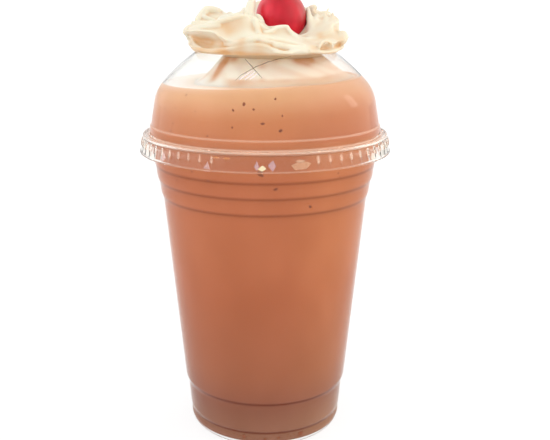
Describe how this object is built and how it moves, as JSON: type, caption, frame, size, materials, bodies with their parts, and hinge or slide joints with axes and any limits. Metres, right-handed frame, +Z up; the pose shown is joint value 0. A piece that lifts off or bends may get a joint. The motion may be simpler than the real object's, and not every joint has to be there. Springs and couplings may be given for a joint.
{
  "type": "milkshake in a dome-lidded cup",
  "caption": "Thick fruit milkshake in a clear tapered cup with stacking steps and a clear dome lid, topped with piped whipped cream and a cherry.",
  "frame": {"origin": "centre of the cup's foot, on the ground", "axes": "+Z up along the cup's axis, the front faces -Y, and the drink's surface rises slightly towards +X"},
  "size_m": [0.1028, 0.1028, 0.1829],
  "materials": {
    "cup": "clear smooth thermoformed plastic",
    "lid": "clear smooth thermoformed plastic",
    "milkshake": "thick opaque salmon fruit milkshake, slightly wet",
    "cream_under_lid": "soft whipped cream tinted by the drink",
    "cream": "soft satin whipped cream",
    "cherry": "wet glossy fruit skin"
  },
  "bodies": {
    "root": {"cup": "cup", "lid": "lid", "milkshake": "milkshake", "whipped_cream_under_lid": "cream_under_lid", "whipped_cream": "cream", "cherry": "cherry"}
  },
  "joints": []
}
